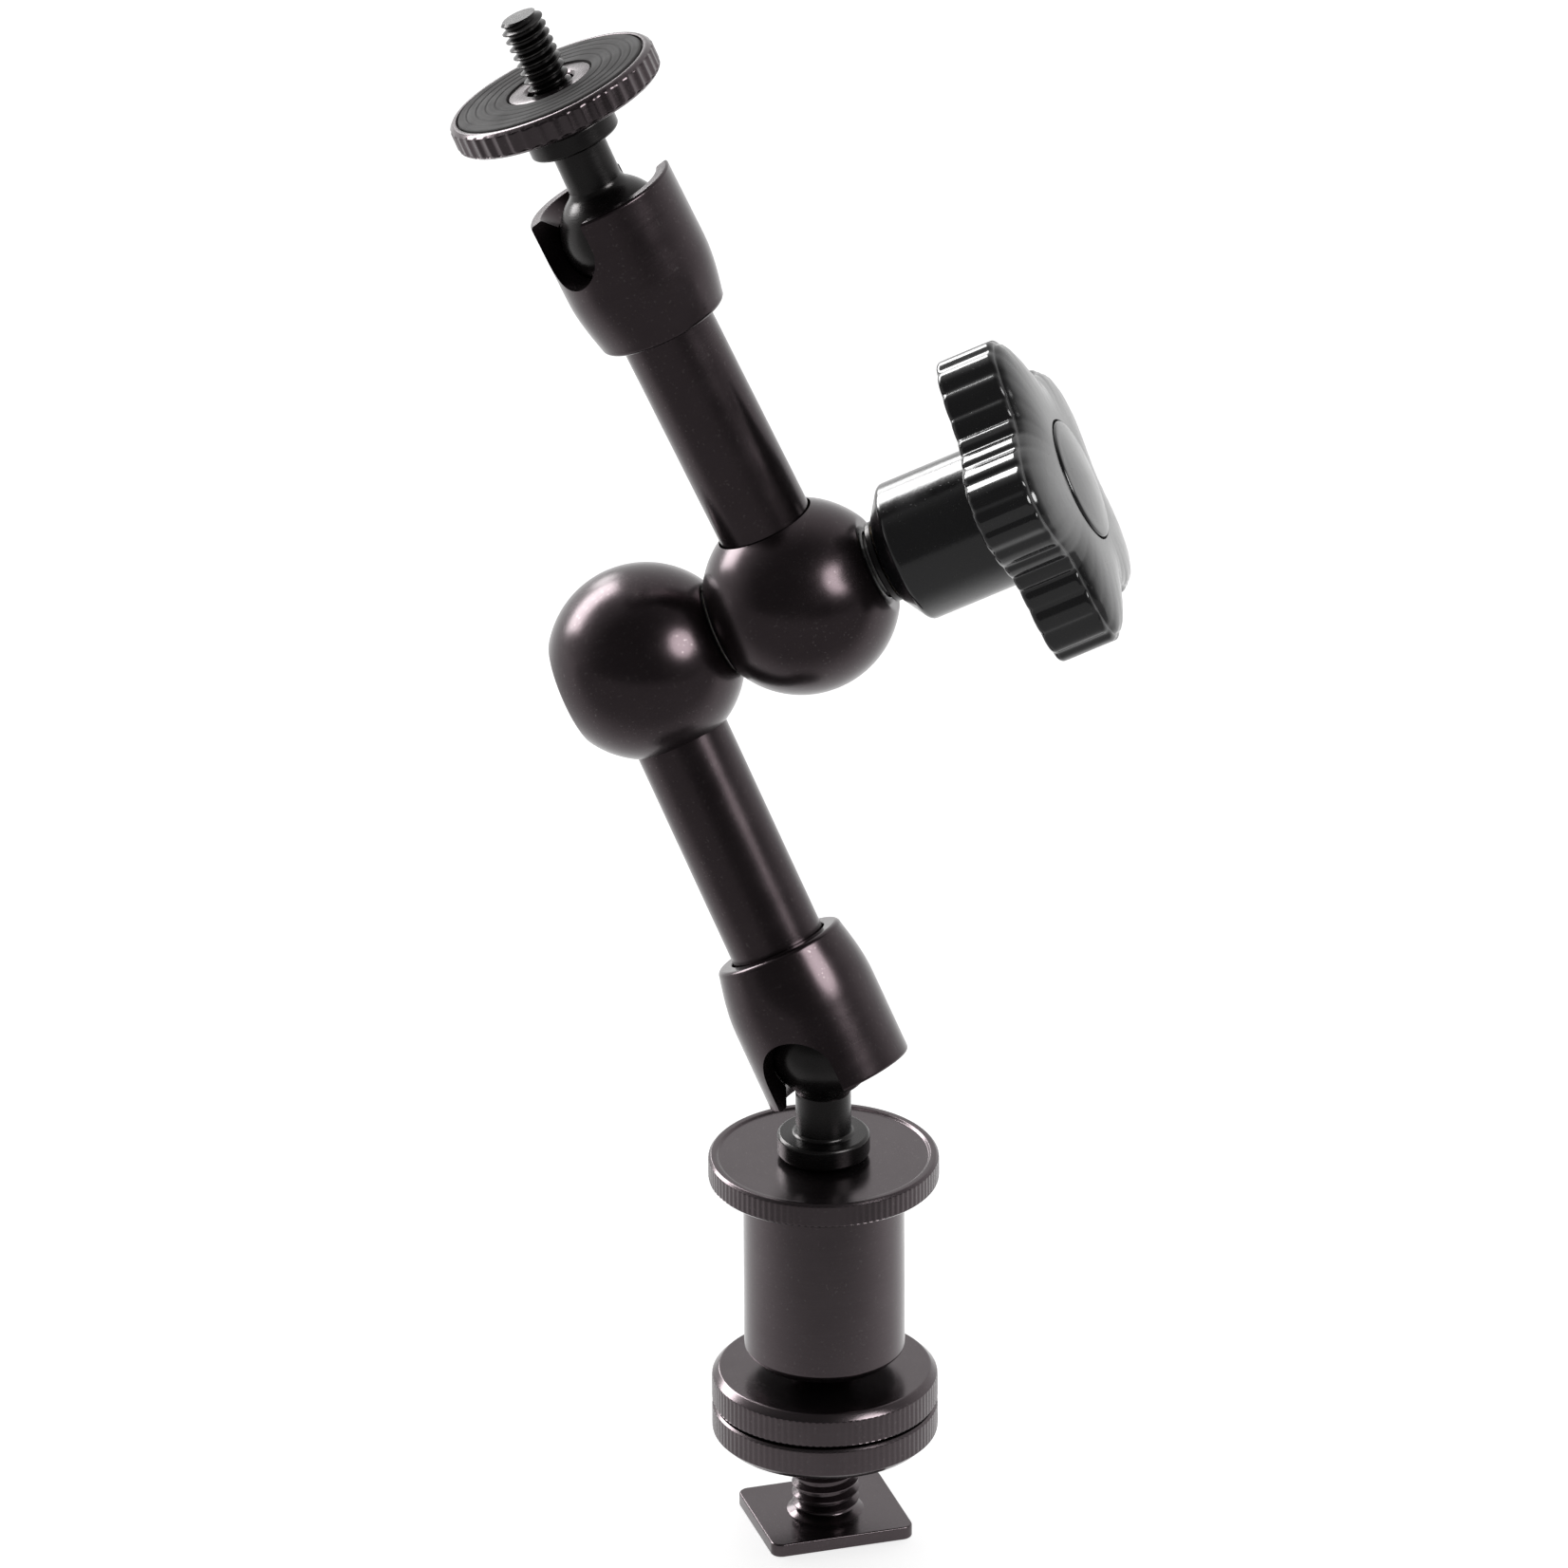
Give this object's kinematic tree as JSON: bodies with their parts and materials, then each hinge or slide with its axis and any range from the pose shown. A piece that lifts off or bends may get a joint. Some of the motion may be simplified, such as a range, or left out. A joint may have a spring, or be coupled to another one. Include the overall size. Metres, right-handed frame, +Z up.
{
  "type": "articulating friction arm",
  "caption": "Short friction arm with two tube arms on a knob-clamped elbow, a ball stud with a lock disc at each end, and a shoe adapter at the bottom.",
  "frame": {"origin": "centre of the shoe foot's underside", "axes": "+Z up along the shoe adapter's stem; +X and +Y along the length and width of the shoe foot, with +Y away from the pictured side"},
  "size_m": [0.092, 0.065, 0.2262],
  "materials": {
    "black_anodised": "semi-gloss black anodised",
    "satin_anodised": "satin dark grey anodised",
    "black_steel": "black oxide on turned steel",
    "bright_steel": "bright turned steel",
    "brass": "turned brass",
    "white_nylon": "white nylon",
    "gloss_plastic": "gloss black moulded plastic",
    "grey_rubber": "matt grey rubber"
  },
  "bodies": {
    "base": {"shoe_foot": "satin_anodised", "adapter_barrel": "satin_anodised"},
    "shoe_clamp": {"shoe_clamp_disc": "satin_anodised"},
    "shoe_ring": {"shoe_lock_ring": "satin_anodised"},
    "lower_disc": {"lower_lock_disc": "satin_anodised"},
    "lower_stud": {"lower_ball_stud": "black_steel"},
    "lower_seat": {"lower_ball_seat": "brass"},
    "lower_arm": {"lower_socket_cup": "black_anodised", "lower_arm_tube": "black_anodised", "lower_elbow_ball": "black_anodised"},
    "lower_rod": {"lower_push_rod": "bright_steel"},
    "clamp_bolt": {"draw_bolt": "bright_steel", "release_spring": "bright_steel"},
    "upper_arm": {"upper_elbow_ball": "black_anodised", "upper_arm_tube": "black_anodised", "upper_socket_cup": "black_anodised", "elbow_friction_washer": "white_nylon"},
    "upper_wedge": {"upper_wedge_cone": "bright_steel", "thrust_washer": "brass"},
    "knob": {"knob_body": "gloss_plastic", "knob_nut": "brass", "knob_cap": "gloss_plastic"},
    "upper_rod": {"upper_push_rod": "bright_steel"},
    "upper_seat": {"upper_ball_seat": "brass"},
    "upper_stud": {"upper_ball_stud": "black_steel"},
    "upper_pad": {"upper_disc_pad": "grey_rubber"},
    "upper_disc": {"upper_lock_disc": "satin_anodised"}
  },
  "joints": [
    {"name": "shoe_clamp_travel", "type": "slide", "parent": "base", "child": "shoe_clamp", "axis": [0, 0, 1], "range_m": [-0.01017, 0.00192]},
    {"name": "shoe_ring_turn", "type": "hinge", "parent": "shoe_clamp", "child": "shoe_ring", "pos_m": [0, 0, 0.0198], "axis": [0, 0, 1], "range_deg": [-2300, 430]},
    {"name": "lower_disc_turn", "type": "hinge", "parent": "base", "child": "lower_disc", "pos_m": [0, 0, 0.055], "axis": [0, 0, 1], "range_deg": [-80, 80]},
    {"name": "lower_pan", "type": "hinge", "parent": "base", "child": "lower_stud", "pos_m": [0, 0, 0.07635], "axis": [0, 0, 1], "continuous": true},
    {"name": "lower_tilt", "type": "hinge", "parent": "lower_stud", "child": "lower_seat", "pos_m": [0, 0, 0.07635], "axis": [-0.7361, -0.6769, 0], "range_deg": [-61.4, 4.6]},
    {"name": "lower_spin", "type": "hinge", "parent": "lower_seat", "child": "lower_arm", "pos_m": [0, 0, 0.07635], "axis": [-0.3219, 0.3501, 0.8796], "continuous": true},
    {"name": "lower_rod_travel", "type": "slide", "parent": "lower_arm", "child": "lower_rod", "axis": [0.3219, -0.3501, -0.8796], "range_m": [-0.00017, 0]},
    {"name": "bolt_travel", "type": "slide", "parent": "lower_arm", "child": "clamp_bolt", "axis": [0.8543, -0.293, 0.4293], "range_m": [-0.00102, 0]},
    {"name": "elbow_fold", "type": "hinge", "parent": "lower_arm", "child": "upper_arm", "pos_m": [0.00135, 0.01399, 0.13982], "axis": [0.8543, -0.293, 0.4293], "continuous": true},
    {"name": "wedge_travel", "type": "slide", "parent": "upper_arm", "child": "upper_wedge", "axis": [0.8543, -0.293, 0.4293], "range_m": [0, 0.00102]},
    {"name": "knob_turn", "type": "hinge", "parent": "upper_wedge", "child": "knob", "pos_m": [0.00135, 0.01399, 0.13982], "axis": [0.8543, -0.293, 0.4293], "range_deg": [0, 720]},
    {"name": "upper_rod_travel", "type": "slide", "parent": "upper_arm", "child": "upper_rod", "axis": [-0.3781, 0.2164, 0.9001], "range_m": [-0.00017, 0]},
    {"name": "upper_swivel", "type": "hinge", "parent": "upper_arm", "child": "upper_seat", "pos_m": [-0.02145, 0.02704, 0.1941], "axis": [-0.3781, 0.2164, 0.9001], "continuous": true},
    {"name": "upper_tilt", "type": "hinge", "parent": "upper_seat", "child": "upper_stud", "pos_m": [-0.02145, 0.02704, 0.1941], "axis": [-0.1474, -0.974, 0.1722], "range_deg": [-31.1, 34.9]},
    {"name": "upper_disc_travel", "type": "slide", "parent": "upper_stud", "child": "upper_pad", "axis": [-0.3476, 0.214, 0.9129], "range_m": [-0.00178, 0.0051]},
    {"name": "upper_disc_turn", "type": "hinge", "parent": "upper_pad", "child": "upper_disc", "pos_m": [-0.0282, 0.03119, 0.21181], "axis": [-0.3476, 0.214, 0.9129], "range_deg": [-500, 1440]}
  ],
  "couplings": [
    {"joint": "shoe_clamp_travel", "follows": "shoe_ring_turn", "m_per_rad": 0.00025266},
    {"joint": "bolt_travel", "follows": "knob_turn", "m_per_rad": -0.000079577},
    {"joint": "wedge_travel", "follows": "knob_turn", "m_per_rad": 0.000079577},
    {"joint": "lower_rod_travel", "follows": "knob_turn", "m_per_rad": -0.000012732},
    {"joint": "upper_rod_travel", "follows": "knob_turn", "m_per_rad": -0.000012732},
    {"joint": "upper_disc_travel", "follows": "upper_disc_turn", "m_per_rad": 0.00020213}
  ]
}
